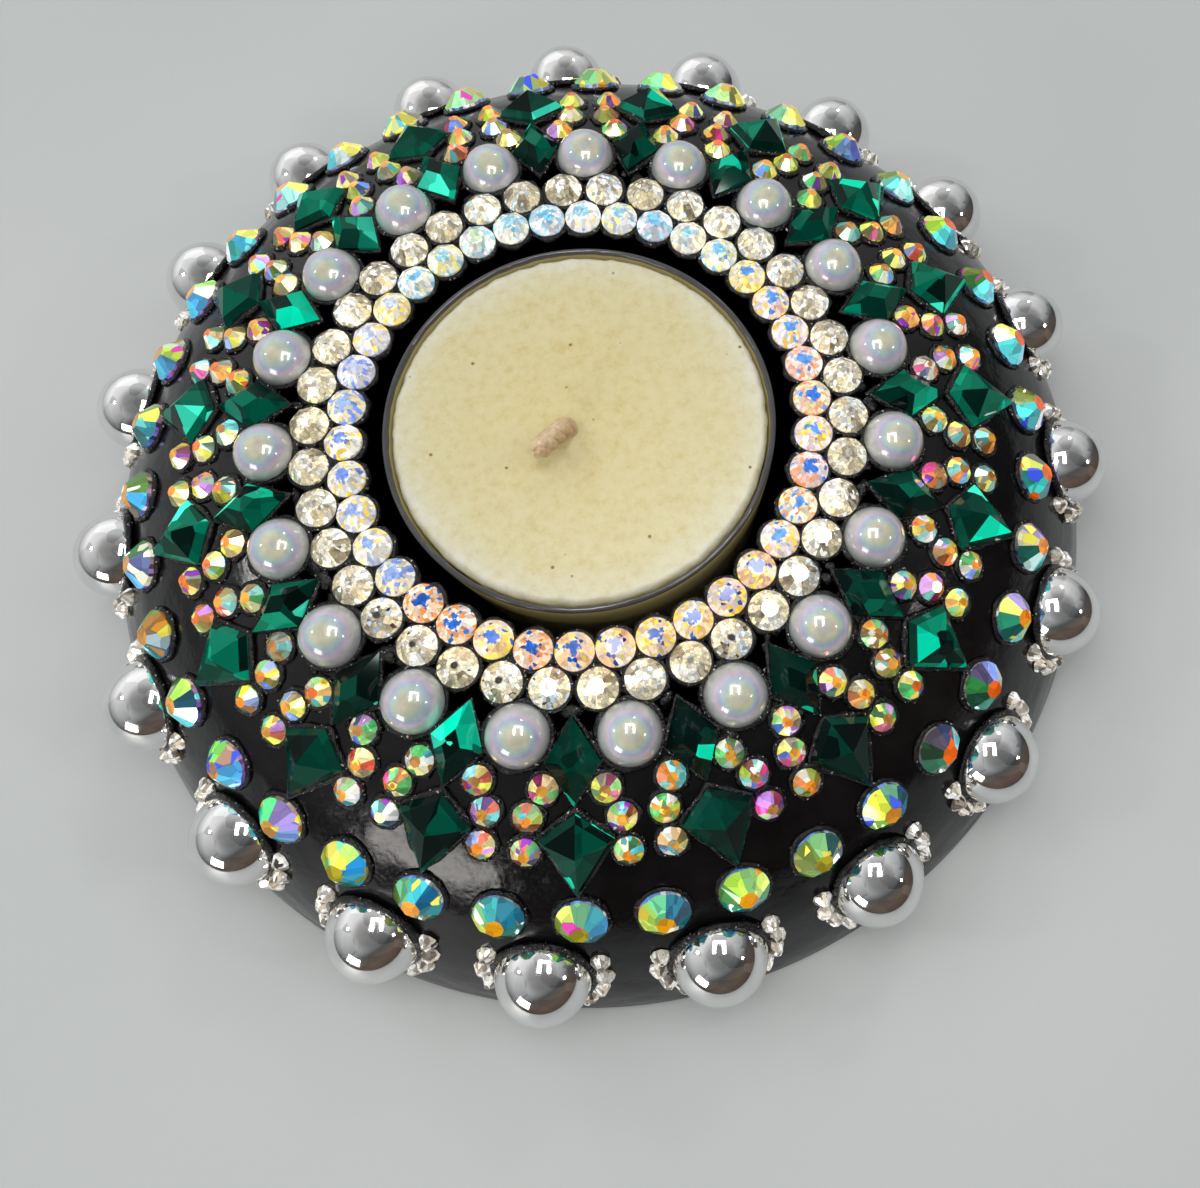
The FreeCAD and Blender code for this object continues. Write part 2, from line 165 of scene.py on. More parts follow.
def arcPoints(x, z, radius, start, end, count):
    angles = [math.radians(start + (end - start) * i / count) for i in range(count + 1)]
    return [(x + radius * math.cos(angle), z + radius * math.sin(angle)) for angle in angles]


def linePoints(x1, z1, x2, z2, count):
    return [(x1 + (x2 - x1) * i / count, z1 + (z2 - z1) * i / count) for i in range(1, count)]


def finishPiece(obj, body, slot, material, *nodes):
    obj.data.materials.clear()
    obj.data.materials.append(material)
    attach(obj, body)
    if nodes:
        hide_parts(*nodes)


# helpers for the finishes: most of them add a node and give back its socket

def wire(tree, socket, value):
    # a socket is linked, and anything else is set as the value
    if isinstance(value, bpy.types.NodeSocket):
        tree.links.new(value, socket)
    else:
        socket.default_value = value


def fillNode(tree, node, values):
    for name, value in values.items():
        label = name.replace("_", " ")
        if label in node.inputs:
            wire(tree, node.inputs[label], value)
        else:
            setattr(node, name, value)


def addNode(tree, kind, *inOrder, **byName):
    node = tree.nodes.new("ShaderNode" + kind)
    fillNode(tree, node, byName)
    for socket, value in zip(node.inputs, inOrder):
        wire(tree, socket, value)
    return node


def newMaterial(name):
    # a material, its nodes and its Object coordinates
    material = bpy.data.materials.new(name)
    material.use_nodes = True
    place = addNode(material.node_tree, "TexCoord").outputs["Object"]
    return material, material.node_tree, place


def setShader(material, **values):
    fillNode(material.node_tree, material.node_tree.nodes["Principled BSDF"], values)
    return material


def addAttribute(tree, name, part="Color"):
    return addNode(tree, "Attribute", attribute_name=name).outputs[part]


def addNoise(tree, place, scale, detail, **more):
    more.update(Vector=place, Scale=scale, Detail=detail)
    return addNode(tree, "TexNoise", **more).outputs["Fac"]


def addRamp(tree, value, *stops):
    node = addNode(tree, "ValToRGB", value)
    elements = node.color_ramp.elements
    while len(elements) < len(stops):
        elements.new(0.5)
    for element, (place, colour) in zip(elements, stops):
        element.position = place
        element.color = colourOf(colour)
    return node.outputs["Color"]


def addMath(tree, operation, *values):
    return addNode(tree, "Math", *values, operation=operation).outputs["Value"]


def addMix(tree, share, first, second, blend="MIX"):
    return addNode(tree, "Mix", data_type="RGBA", blend_type=blend,
                   Factor=share, A=colourOf(first), B=colourOf(second)).outputs["Result"]


def addCells(tree, place, scale):
    # cells of random colour: its parts, and the distance from each cell's middle
    cells = addNode(tree, "TexVoronoi", Vector=place, Scale=scale)
    parts = addNode(tree, "SeparateColor", Color=cells.outputs["Color"])
    return parts.outputs["Red"], parts.outputs["Green"], cells.outputs["Distance"]


def addBump(tree, height, strength, depth, **under):
    return addNode(tree, "Bump", Height=height, Strength=strength,
                   Distance=depth * mm, **under).outputs["Normal"]


# the two blacks and the five kinds of cut glass

def blackGloss(name, grain):
    material, tree, place = newMaterial(name)
    soft = addNoise(tree, place, grain["waveScale"], 3.0)
    fine = addNoise(tree, place, grain["fineScale"], 5.0, Roughness=0.6)
    rough = addRamp(tree, fine, (0.3, grain["smooth"]), (0.75, grain["dull"]))
    colour = addRamp(tree, soft, (0.35, (0.002, 0.002, 0.0025, 1)), (0.8, (0.007, 0.007, 0.008, 1)))
    # painted glints: tiny pale spots mixed into the base colour where the dried glue would catch
    # the light
    if grain["paintedGlints"]:    # tiny pale glints where the dried glue catches the light
        glint = addRamp(tree, addNoise(tree, place, 3400.0, 1.0), (0.7, 0), (0.74, 1))
        colour = addMix(tree, glint, colour, grain["paintedGlints"])
    wave = addBump(tree, soft, grain["wave"], grain["waveDepth"])
    ripple = addBump(tree, fine, grain["ripple"], grain["rippleDepth"], Normal=wave)
    return setShader(
        material, Roughness=rough, IOR=1.42, Specular_IOR_Level=0.42, Base_Color=colour,
        Normal=ripple)


stoneWords = ("tint", "heart", "fleck")    # the colours that every stone carries
plainGlass = {
    "roughness": 0.08, "ior": 1.6, "metallic": 0.25, "coat": 0.5, "specular": 0.5,
    "edgeIn": 0.06, "edgeOut": 0.03, "edgeSoft": 0.02,    # how softly the heart and patches end
    "wanderScale": 3.2,
}


def cutGlass(name, ownLook):
    # facet tint from the stone, broken into patches of painted light and shade as the foil behind
    # breaks up the light
    look = {**plainGlass, **ownLook}
    material, tree, _ = newMaterial(name)
    tint, heart, fleck = [addAttribute(tree, word) for word in stoneWords]
    seed = addAttribute(tree, "seed", "Fac")
    place = addNode(tree, "UVMap", uv_map="stoneMap").outputs["UV"]
    layer = addNode(tree, "CombineXYZ", Z=seed).outputs["Vector"]
    spot = addNode(tree, "VectorMath", place, layer, operation="ADD").outputs["Vector"]
    wander = addNoise(tree, spot, look["wanderScale"], 2.0)
    which, shade, _ = addCells(tree, spot, look["patchScale"])
    border = addNode(tree, "TexVoronoi", feature="DISTANCE_TO_EDGE",
                     Vector=spot, Scale=look["patchScale"]).outputs["Distance"]

    # heart colour in the middle and in a few patches, fleck colour, a painted sparkle, in a few
    # others
    heartReach, heartWander, share = look["heart"]
    middle = addNode(tree, "VectorMath", place, operation="LENGTH").outputs["Value"]
    uneven = addMath(tree, "MULTIPLY_ADD", wander, heartWander, middle)
    reach = heartReach + heartWander / 2
    core = addRamp(
        tree, uneven, (max(reach - look["edgeIn"], 0), 1), (max(reach + look["edgeOut"], 0.001), 0))
    few = addRamp(tree, which, (share, 1), (share + look["edgeSoft"], 0))
    rest = 1 - look["fleckShare"]
    flecked = addRamp(tree, which, (rest - look["edgeSoft"], 0), (rest, 1))
    colour = addMix(tree, flecked, tint, fleck)
    colour = addMix(tree, addMath(tree, "MAXIMUM", core, few), colour, heart)

    # painted highlight and shade: brighter and darker patches, and fine dark lines between them
    paintedShine = addRamp(tree, shade, *look["paintedShine"])
    lineShade, lineWidth = look["line"]
    lines = addRamp(tree, border, (0.0, lineShade), (lineWidth, 1))
    for layerOver in (paintedShine, lines):
        colour = addMix(tree, 1.0, colour, layerOver, "MULTIPLY")
    # painted glow: the facet colour is given off again as emission, standing in for the light that
    # the foil sends back
    return setShader(
        material, Roughness=look["roughness"], IOR=look["ior"], Metallic=look["metallic"],
        Specular_IOR_Level=look["specular"], Coat_Weight=look["coat"], Coat_Roughness=0.02,
        Base_Color=colour, Emission_Color=colour, Emission_Strength=look["paintedGlow"])


# by material slot; the glue is black gloss too, with a finish of its own
# heart: its reach, how far that wanders, and its share of the patches; line: shade and width
finish = {
    "black_gloss": blackGloss("blackGloss", {
        "waveScale": 260, "fineScale": 2400, "smooth": 0.07, "dull": 0.24, "wave": 0.3,
        "ripple": 0.14, "waveDepth": 0.4, "rippleDepth": 0.08, "paintedGlints": 0}),
    "glue": blackGloss("blackGlue", {
        "waveScale": 900, "fineScale": 3600, "smooth": 0.03, "dull": 0.14, "wave": 0.9,
        "ripple": 0.8, "waveDepth": 0.5, "rippleDepth": 0.16, "paintedGlints": 0.5}),
    "opal_glass": cutGlass("opalGlass", {
        "roughness": 0.12, "ior": 1.5, "metallic": 0.0, "coat": 0.2, "paintedGlow": 0.24,
        "patchScale": 5.2, "heart": (0.36, 1.1, 0.05), "fleckShare": 0.24, "line": (0.72, 0.05),
        "paintedShine": [(0.0, 0.72), (0.5, 1.0), (1.0, 1.4)]}),
    "foiled_clear_glass": cutGlass("foiledClearGlass", {
        "roughness": 0.1, "paintedGlow": 0.26,
        "patchScale": 5.6, "heart": (0.2, 0.2, 0.02), "fleckShare": 0.16, "line": (0.4, 0.06),
        "paintedShine": [(0.0, 0.55), (0.3, 1.0), (0.7, 1.35), (1.0, 1.8)]}),
    "emerald_glass": cutGlass("emeraldGlass", {
        "roughness": 0.05, "ior": 1.5, "metallic": 0.1, "coat": 0.0, "specular": 0.1, "paintedGlow": 0.4,
        "patchScale": 2.2, "heart": (-0.4, 0.1, 0.14), "fleckShare": 0.05, "line": (0.85, 0.02),
        "paintedShine": [(0.0, 0.55), (0.5, 0.9), (1.0, 1.35)]}),
    "aurora_glass": cutGlass("auroraGlass", {
        "metallic": 0.3, "paintedGlow": 0.26,
        "patchScale": 2.4, "heart": (0.2, 0.15, 0.02), "fleckShare": 0.09, "line": (0.7, 0.03),
        "paintedShine": [(0.0, 0.7), (0.5, 1.05), (1.0, 1.45)]}),
    "tiny_crystal": cutGlass("tinyCrystal", {
        "paintedGlow": 0.25,
        "patchScale": 2.6, "heart": (0.2, 0.3, 0.12), "fleckShare": 0.2, "line": (0.4, 0.05),
        "paintedShine": [(0.0, 0.45), (0.5, 1.0), (1.0, 1.6)]}),
}
print("finishes mixed")


# holder: spun dome with the recess for the tealight

holder = {
    "foot": 54.64, "bevel": 0.8, "recess": 20.3, "edgeRound": 0.6, "cornerRound": 1.5,
    "floor": 5.9, "steps": 420, "domeRows": 110,
    "handWave": 0.09,    # how far the cast surface wanders
    "waveFrom": 1.5,     # height at which it begins
    "waveScales": (190, 420),
    "upShare": 0.6,      # how much it pushes upwards beside outwards
}


def makeHolder():
    top, centre = dome["height"], dome["height"] - dome["arc"]
    low = math.degrees(math.asin((holder["bevel"] - centre) / dome["arc"]))
    foot, recess, floor = holder["foot"], holder["recess"], holder["floor"]
    edge, corner = holder["edgeRound"], holder["cornerRound"]
    points = [(0, 0)] + linePoints(0, 0, foot, 0, 3) + [(foot - 0.3, 0), (foot, 0.05)]
    points += arcPoints(dome["land"], centre, dome["arc"], low, 90, holder["domeRows"])
    points += linePoints(dome["land"], top, recess + edge, top, 8)
    points += arcPoints(recess + edge, top - edge, edge, 90, 180, 8)
    points += linePoints(recess, top - edge, recess, floor + corner, 14)
    points += arcPoints(recess - corner, floor + corner, corner, 0, -90, 6)
    points += linePoints(recess - corner, floor, 0, floor, 5) + [(0, floor)]
    body = latheProfile("holderBody", points, holder["steps"])
    broad, small = holder["waveScales"]
    for vertex in body.data.vertices:
        spot = vertex.co
        if spot.z > holder["waveFrom"] * mm and spot.to_2d().length > (recess + edge + 0.1) * mm:
            wander = noise.noise(spot * broad) + 0.5 * noise.noise(spot * small)
            outward = Vector((spot.x, spot.y, max(spot.z - centre * mm, 0) * holder["upShare"]))
            vertex.co += outward.normalized() * wander * holder["handWave"] * mm
    smoothShade(body, 50)
    finishPiece(body, "holder", "black_gloss", finish["black_gloss"], "holder_body")


makeHolder()
print("holder spun")


# tealight: cup, wax and wick

cup = {
    "base": 6.0, "height": 17.5, "rim": 19.25, "taper": 0.95, "wall": 0.6, "floor": 0.7,
    "corner": 0.6, "steps": 300,
    "nicks": [(900, 0.1), (260, 0.08)],    # how fine and how deep the rim is ragged
}


def clearCup():
    material, tree, place = newMaterial("thinClearCup")
    height = addNode(tree, "SeparateXYZ", Vector=place).outputs["Z"]
    climb = addNode(tree, "MapRange", Value=height, From_Min=cup["base"] * mm,
                    From_Max=(cup["base"] + cup["height"]) * mm).outputs["Result"]
    # painted shade: the side darkens to olive towards the top, where it stands deep in the recess,
    # and the rim is painted dark grey where the black holder shows through
    shade = addRamp(
        tree, climb, (0.0, (198, 190, 148)), (0.55, (194, 185, 140)), (0.86, (174, 164, 114)),
        (0.965, (150, 140, 96)), (0.976, (66, 66, 67)))
    smear = addRamp(tree, addNoise(tree, place, 420.0, 4.0), (0.3, 0.86), (0.7, 1.04))
    # painted glow: emission near the top stands in for the light that comes through the wax
    paintedGlow = addRamp(    # the light that comes through the wax
        tree, climb, (0.6, 0), (0.86, (66, 59, 33)), (0.965, (88, 80, 50)),
        (0.976, 0.01))
    return setShader(
        material, Roughness=0.12, IOR=1.45, Specular_IOR_Level=0.5, Emission_Color=paintedGlow,
        Emission_Strength=1.0, Base_Color=addMix(tree, 1.0, shade, smear, "MULTIPLY"))


def makeCup():
    base, rim, corner = cup["base"], cup["rim"], cup["corner"]
    top = base + cup["height"]
    low, inner = rim - cup["taper"], rim - cup["wall"]
    innerLow = inner - cup["taper"] / cup["height"] * 16
    floor = base + cup["floor"]
    points = [(0, base)] + linePoints(0, base, low - 0.5, base, 4)
    points += arcPoints(low - corner, base + corner, corner, -90, 0, 5)
    points += linePoints(low, base + corner, rim, top - 0.5, 14)
    points += [(rim - 0.02, top - 0.45)] + arcPoints(rim - 0.3, top - 0.3, 0.28, 10, 170, 8)
    points += linePoints(inner, top - 0.5, innerLow, floor, 14)
    points += [(innerLow - 0.4, floor)] + linePoints(inner - 1.3, floor, 0, floor, 5) + [(0, floor)]
    shell = latheProfile("candleCup", points, cup["steps"])
    for vertex in shell.data.vertices:    # the thin rim is a little ragged on its inner edge
        flat = vertex.co.to_2d()
        if vertex.co.z > (top - 0.6) * mm and flat.length < (rim - 0.3) * mm:
            nick = sum(noise.noise(vertex.co * scale) * depth for scale, depth in cup["nicks"])
            vertex.co.x += flat.x / flat.length * nick * mm
            vertex.co.y += flat.y / flat.length * nick * mm
    smoothShade(shell, 60)
    finishPiece(shell, "tealight", "clear_cup", clearCup(), "candle_cup")


wax = {
    "base": 6.75, "top": 23.1, "low": 17.59, "high": 18.42, "edgeRound": 0.7,
    "dish": 0.12, "crumbleBand": 1.6, "steps": 300, "rows": 70,
    "capDepth": 1.2,    # the uneven top reaches down this far
    "creep": 0.28,      # how far it rises round the wick
    "creepMiddle": 0.9, "creepWidth": 0.6,
}
wick = {
    "spot": (-1.3, -0.4), "bottom": 7.1, "bend": 24.05, "bendLength": 1.6,
    "tip": 28.8,        # measured along the wick, before it leans
    "lean": 65.0, "bearing": -143.0, "strand": 0.68, "strandReach": 0.42,
    "pitch": 3.6, "strands": 3, "rows": 120,
}


def creamWax():
    material, tree, place = newMaterial("creamWax")
    flat = addNode(tree, "Mapping", Vector=place, Scale=(1, 1, 0)).outputs["Vector"]
    length = addNode(tree, "VectorMath", flat, operation="LENGTH").outputs["Value"]
    drift = addNoise(tree, place, 110.0, 3.0)
    wander = addMath(tree, "MULTIPLY_ADD", drift, 3.2 * mm, length)
    reach = addNode(tree, "MapRange", Value=wander, From_Max=20.4 * mm).outputs["Result"]
    spread = addRamp(
        tree, reach, (0.0, (205, 194, 145)), (0.5, (206, 197, 152)), (0.8, (206, 199, 161)),
        (0.91, (209, 205, 179)), (0.97, (212, 211, 198)))
    cloud = addNoise(tree, place, 900.0, 6.0, Roughness=0.7)
    mottle = addRamp(
        tree, cloud, (0.3, (240, 230, 198)), (0.46, (250, 247, 233)), (0.6, (255, 255, 252)))
    which, _, distance = addCells(tree, place, 620.0)
    chosen = addMath(tree, "GREATER_THAN", which, 0.82)
    near = addRamp(tree, distance, (0.07, 1), (0.14, 0))
    colour = addMix(tree, 0.9, spread, mottle, "MULTIPLY")
    colour = addMix(tree, addMath(tree, "MULTIPLY", chosen, near), colour, (120, 96, 50))
    return setShader(
        material, Roughness=0.48, IOR=1.44, Subsurface_Weight=0.25, Subsurface_Scale=0.9 * mm,
        Subsurface_Radius=(1.0, 0.8, 0.45), Base_Color=colour,
        Normal=addBump(tree, cloud, 0.5, 0.07))


def makeWax():
    base, top, edge, low, high = [wax[word] for word in ("base", "top", "edgeRound", "low", "high")]
    points = [(0, base)] + linePoints(0, base, low, base, 4) + [(low, base + 0.05)]
    points += linePoints(low, base, high, top - edge, 12)
    points += arcPoints(high - edge, top - edge, edge, 0, 90, 6)
    points += linePoints(high - edge, top, 0, top, wax["rows"]) + [(0, top)]
    block = latheProfile("candleWax", points, wax["steps"])
    for vertex in block.data.vertices:
        if vertex.co.z <= (top - wax["capDepth"]) * mm:
            continue
        spot = vertex.co.copy()
        flat = spot.to_2d().length / mm
        rough = noise.noise(spot * 330) * 0.05 + noise.noise(spot * 1200) * 0.02
        rough -= wax["dish"] * (1 - (flat / high) ** 2)
        if flat > high - wax["crumbleBand"]:    # the edge crumbles a little
            crumb = noise.noise(spot * 800) * 0.13 + noise.noise(spot * 2600) * 0.06
            vertex.co.x *= 1 + crumb / flat
            vertex.co.y *= 1 + crumb / flat
            rough += crumb * 0.5
        away = (vertex.co.to_2d() / mm - Vector(wick["spot"])).length    # it creeps up the wick
        climb = math.exp(-((away - wax["creepMiddle"]) / wax["creepWidth"]) ** 2)
        vertex.co.z += (rough + wax["creep"] * climb) * mm
    smoothShade(block, 60)
    finishPiece(block, "tealight", "cream_wax", creamWax(), "candle_wax")


def leanOver(spot):
    # the straight wick is bent over above the wax
    total, bearing = math.radians(wick["lean"]), math.radians(wick["bearing"])
    along, up = Vector((math.cos(bearing), math.sin(bearing), 0)), Vector((0, 0, 1))
    rise = spot.z - (wick["bend"] - wick["bendLength"] / 2)
    if rise <= 0:
        return spot
    radius = wick["bendLength"] / total
    angle = min(rise / radius, total)
    ahead = along * math.sin(angle) + up * math.cos(angle)
    outward = along * math.cos(angle) - up * math.sin(angle)
    centre = Vector((0, 0, spot.z - rise)) + along * radius * (1 - math.cos(angle))
    centre += up * radius * math.sin(angle) + ahead * max(rise - radius * total, 0)
    aside, sideways = Vector((spot.x, spot.y, 0)), up.cross(along)
    return centre + sideways * aside.dot(sideways) + outward * aside.dot(along)


def waxedCotton():
    material, tree, place = newMaterial("waxedCotton")
    fibre = addNoise(tree, place, 2600.0, 5.0, Distortion=0.6)
    threads = addRamp(
        tree, fibre, (0.3, (190, 164, 132)), (0.55, (212, 190, 156)), (0.8, (226, 208, 178)))
    stain = addRamp(
        tree, addNoise(tree, place, 500.0, 2.0), (0.35, (236, 220, 198)), (0.65, (255, 253, 248)))
    return setShader(
        material, Roughness=0.62, IOR=1.45, Sheen_Weight=0.15,
        Base_Color=addMix(tree, 1.0, threads, stain, "MULTIPLY"),
        Normal=addBump(tree, fibre, 0.5, 0.06))


def makeWick():
    strands, rows, bottom = wick["strands"], wick["rows"], wick["bottom"]
    pieces = []
    for strand in range(strands):
        curve = bpy.data.curves.new("candleWick", "CURVE")
        curve.dimensions = "3D"
        curve.bevel_depth = wick["strand"] * mm
        curve.bevel_resolution = 3
        curve.use_fill_caps = True
        line = curve.splines.new("POLY")
        line.points.add(rows)
        for index in range(rows + 1):
            height = bottom + (wick["tip"] - bottom) * index / rows
            turn = 2 * math.pi * ((height - bottom) / wick["pitch"] + strand / strands)
            reach = wick["strandReach"] * (1 + 0.06 * math.sin(5 * turn))
            spot = leanOver(Vector((reach * math.cos(turn), reach * math.sin(turn), height)))
            point = line.points[index]
            point.co = (*((spot + Vector((*wick["spot"], 0))) * mm), 1)
            point.radius = 1.0 if index < rows - 3 else 1.0 - 0.13 * (index - rows + 4)
        pickUp(addObject("candleWick", curve))
        bpy.ops.object.convert(target="MESH")
        pieces.append(bpy.context.object)
    braid = joinUp("candleWick", pieces)
    smoothShade(braid)
    finishPiece(braid, "tealight", "wick_cotton", waxedCotton(), "candle_wick")


def finishSustainer():
    # the frame's own tab and collar, in thin tinned sheet
    material, tree, place = newMaterial("tinnedSheet")
    stretch = addNode(tree, "Mapping", Vector=place, Scale=(1, 14, 1))
    grain = addNoise(tree, stretch.outputs["Vector"], 600.0, 4.0)
    sheen = addRamp(tree, grain, (0.3, (182, 184, 186)), (0.7, (206, 207, 208)))
    dull = addRamp(tree, grain, (0.3, 0.22), (0.7, 0.4))
    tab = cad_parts["wick_sustainer"]
    tab.data.materials.clear()
    tab.data.materials.append(setShader(material, Metallic=1.0, Base_Color=sheen, Roughness=dull))


makeCup()
makeWax()
makeWick()
finishSustainer()
print("tealight made")


# cut stones: the model of each kind is cut once, then copied, painted and set

def cutAway(height, reach, azimuth, slope):
    # one flat cut, as a lapidary makes it, through a height at a reach from the middle
    across = (math.cos(azimuth), math.sin(azimuth))
    normal = (math.sin(slope) * across[0], math.sin(slope) * across[1], math.cos(slope))
    spot = (reach * across[0] * mm, reach * across[1] * mm, height * mm)
    bpy.ops.mesh.select_all(action="SELECT")
    bpy.ops.mesh.bisect(plane_co=spot, plane_no=normal, use_fill=True, clear_outer=True)


def cutRoundStone(setting, tiers):
    deselectAll()
    bpy.ops.mesh.primitive_cylinder_add(
        vertices=setting["sides"], radius=setting["radius"] * mm, depth=setting["height"] * mm,
        location=(0, 0, setting["height"] * mm / 2))
    bpy.ops.object.transform_apply(location=True, rotation=True, scale=True)
    stone = bpy.context.object
    openMesh(stone)
    for tier in tiers:
        for index in range(tier["count"]):
            azimuth = 2 * math.pi * (index + tier["turn"]) / tier["count"]
            reach = tier["reach"] * setting["radius"]
            cutAway(tier["height"], reach, azimuth, math.radians(tier["slope"]))
    closeMesh()
    return stone


def facetRise(setting):
    # slope of the main facets, from the girdle up to the table
    run = setting["radius"] * (1 - setting["table"])
    return math.degrees(math.atan2(setting["height"] - setting["girdle"], run))


def cutBrilliant(setting):
    # eight main facets, eight narrower ones between them, and short ones along the girdle
    rise, girdle = facetRise(setting), setting["girdle"]
    return cutRoundStone(setting, [
        {"count": 8, "turn": 0.0, "height": girdle, "reach": 0.985, "slope": rise},
        {"count": 8, "turn": 0.5, "height": girdle * 1.12, "reach": 0.985, "slope": rise + 3.5},
        {"count": 16, "turn": 0.5, "height": girdle * 0.9, "reach": 0.99,
         "slope": min(rise + 17, 84)},
    ])


def edgesOf(outline):
    # which way each edge of an outline faces, and how far out it lies
    points, edges = [Vector(point) for point in outline], []
    for index, point in enumerate(points):
        along = points[(index + 1) % len(points)] - point
        outward = Vector((along.y, -along.x)).normalized()
        edges.append((math.atan2(outward.y, outward.x), outward.dot(point)))
    return edges


def cutOutlinedStone(setting):
    # the outline is cut first, then each tier of facets along its four edges
    edges = edgesOf(setting["outline"])
    size = max(Vector(point).length for point in setting["outline"])
    deselectAll()
    bpy.ops.mesh.primitive_cube_add(size=2 * size * mm, location=(0, 0, 0))
    stone = bpy.context.object
    stone.scale.z = setting["height"] / (2 * size)
    stone.location.z = setting["height"] * mm / 2
    bpy.ops.object.transform_apply(location=True, rotation=True, scale=True)
    openMesh(stone)
    for azimuth, reach in edges:
        cutAway(0, reach, azimuth, math.pi / 2)
    for tier in setting["tiers"]:
        for azimuth, reach in edges:
            run = reach * (tier["share"] - tier["inner"])
            slope = math.atan2(tier["top"] - tier["low"], run)
            cutAway(tier["low"], reach * tier["share"], azimuth, slope)
    closeMesh()
    return stone


def paintStone(mesh, place, paint, radius, seed):
    # each facet takes its own tint, and the UV map keeps the stone's own measure
    chooseTint, heart, fleck = paint
    mesh.uv_layers.new(name="stoneMap")
    for word in stoneWords:
        mesh.color_attributes.new(word, "FLOAT_COLOR", "CORNER")
    mesh.attributes.new("seed", "FLOAT", "FACE")
    uvMap = mesh.uv_layers["stoneMap"].data
    layers = [mesh.color_attributes[word].data for word in stoneWords]
    mesh.attributes["seed"].data.foreach_set("value", [seed] * len(mesh.polygons))
    turned = place.to_3x3()
    for facet in mesh.polygons:
        tint = chooseTint(facet.normal.z, turned @ facet.normal)
        colours = [tone(*colour) for colour in (tint, heart, fleck)]
        for corner in facet.loop_indices:
            for layer, colour in zip(layers, colours):
                layer[corner].color = colour
            spot = mesh.vertices[mesh.loops[corner].vertex_index].co
            uvMap[corner].uv = (spot.x / (radius * mm), spot.y / (radius * mm))


def setStones(setting, model, places, painter):
    # each copy has its own mesh, turned and tilted a little as a hand would set it
    chance = random.Random(setting["seed"])
    tilt, radius = setting["tilt"], setting["radius"]
    stones = []
    for place in places:
        stone = addObject(setting["name"], model.data.copy())
        turn = spun(chance.uniform(-1, 1) * setting["turn"], "Z")
        lean = spun(chance.uniform(-tilt, tilt), "X")
        nod = spun(chance.uniform(-tilt, tilt), "Y")
        slip = Vector((chance.uniform(-1, 1), chance.uniform(-1, 1), 0)) * setting["slip"] * mm
        whole = place @ Matrix.Translation(slip) @ lean @ nod @ turn
        paintStone(stone.data, whole, painter(chance, whole), radius, chance.uniform(0, 90))
        stone.data.transform(whole)
        stones.append(stone)
    joined = joinUp(setting["name"], stones)
    bpy.data.objects.remove(model)
    finishPiece(joined, "holder", setting["slot"], finish[setting["slot"]], setting["node"])


def sideOf(place, wobble=0.0):
    # right, top, left or bottom of the picture, by how far round the ring a piece stands
    spot = place.translation
    angle = math.degrees(math.atan2(spot.y, spot.x)) + pictureTurn + wobble
    return ("right", "top", "left", "bottom")[int((angle + 45) % 360 // 90)]


def blendTones(first, second, share):
    return tuple(a + (b - a) * share for a, b in zip(first, second))


def dimmed(colour, factor):
    return [min(255, value * factor) for value in colour]


tableUp = 0.97    # a facet that faces up more than this is the table

opals = {
    "name": "opalStones", "node": "opal_stones", "slot": "opal_glass",
    "radius": 1.85, "girdle": 0.45, "height": 1.6, "table": 0.46, "sides": 32,
    "turn": 180, "tilt": 2.5, "slip": 0.03, "seed": 11,
}
# painted light: the same stones take other colours on each side of the picture, as the light falls
# on them; flash is the painted flash on the facets
opalTones = {
    "bottom": {
        "heart": [(12, 84, 176), (34, 104, 200), (20, 70, 160)],
        "fleck": [(250, 206, 70), (252, 226, 110), (240, 150, 84)],
        "flash": [(250, 208, 152), (248, 218, 178), (242, 188, 142)]},
    "right": {
        "heart": [(60, 120, 220), (90, 150, 226), (40, 96, 200)],
        "fleck": [(250, 224, 100), (246, 160, 110), (250, 214, 90)],
        "flash": [(248, 204, 190), (244, 226, 170), (240, 214, 214)]},
    "top": {
        "heart": [(120, 186, 226), (150, 200, 220), (190, 214, 180)],
        "fleck": [(250, 240, 150), (150, 206, 236), (252, 232, 190)],
        "flash": [(240, 246, 242), (242, 244, 214), (232, 236, 244)]},
    "left": {
        "heart": [(110, 138, 220), (146, 172, 226), (190, 200, 226)],
        "fleck": [(248, 216, 90), (250, 228, 130), (120, 150, 236)],
        "flash": [(242, 228, 176), (240, 238, 222), (226, 224, 240)]},
}
milky = [(230, 228, 234), (244, 242, 242), (212, 218, 234)]


def opalPainter(chance, place):
    # painted light: colours chosen by the side of the picture the stone stands on
    tones = opalTones[sideOf(place, chance.uniform(-14, 14))]
    heart, flash = chance.choice(tones["heart"]), chance.choice(tones["flash"])

    def chooseTint(up, outward):
        if up < 0.2:
            return blendTones(flash, (170, 170, 180), 0.6)
        soft = milky[1] if up > tableUp else chance.choice(milky)
        base = blendTones(flash, soft, chance.choice([0.1, 0.4, 0.7]))
        return dimmed(base, chance.uniform(0.88, 1.06))

    return chooseTint, heart, chance.choice(tones["fleck"])


clears = {
    "name": "clearStones", "node": "clear_stones", "slot": "foiled_clear_glass",
    "radius": 1.9, "girdle": 0.45, "height": 1.65, "table": 0.42, "sides": 32,
    "turn": 180, "tilt": 2.5, "slip": 0.05, "seed": 12,
}
clearTones = {
    "facet": [(250, 243, 218), (236, 226, 194), (208, 197, 168), (160, 149, 124), (252, 250, 240),
              (242, 227, 188)],
    "table": [(202, 193, 170), (228, 219, 196), (154, 145, 126)],
    "heart": [(236, 235, 228), (170, 168, 160), (206, 202, 188)],
    # painted shade: a dark middle
    "darkHeart": (56, 52, 48),    # in most of the stones at the bottom of the picture
    "fleck": [(255, 254, 248), (250, 240, 190), (206, 226, 248), (255, 255, 255)],
}


